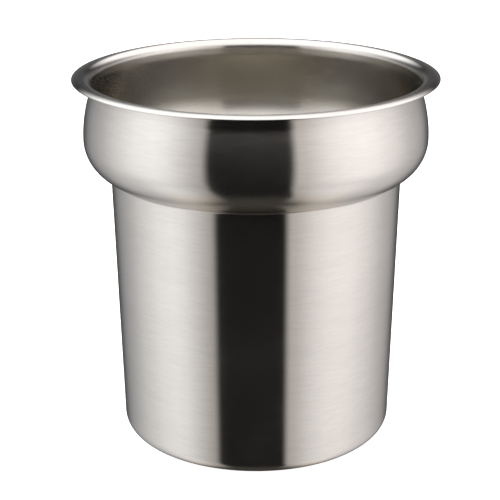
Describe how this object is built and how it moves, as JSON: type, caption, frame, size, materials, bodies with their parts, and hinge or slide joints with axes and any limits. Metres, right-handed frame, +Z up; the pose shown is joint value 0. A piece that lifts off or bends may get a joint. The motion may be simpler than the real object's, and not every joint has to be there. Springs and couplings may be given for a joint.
{
  "type": "soup kettle inset",
  "caption": "Round stainless steel inset for a soup well: a flared rim and bulged collar over a slightly tapered body with a flat base; hangs in a round opening by its shoulder.",
  "frame": {"origin": "centre of the base's underside, on the surface that the vessel stands on", "axes": "+Z up along the axis of revolution, out of the mouth; X and Y are any two square directions"},
  "size_m": [0.1978, 0.1978, 0.203],
  "materials": {
    "stainless_steel": "satin, with fine circumferential brush lines"
  },
  "bodies": {
    "root": {"inset_pot": "stainless_steel"}
  },
  "joints": []
}
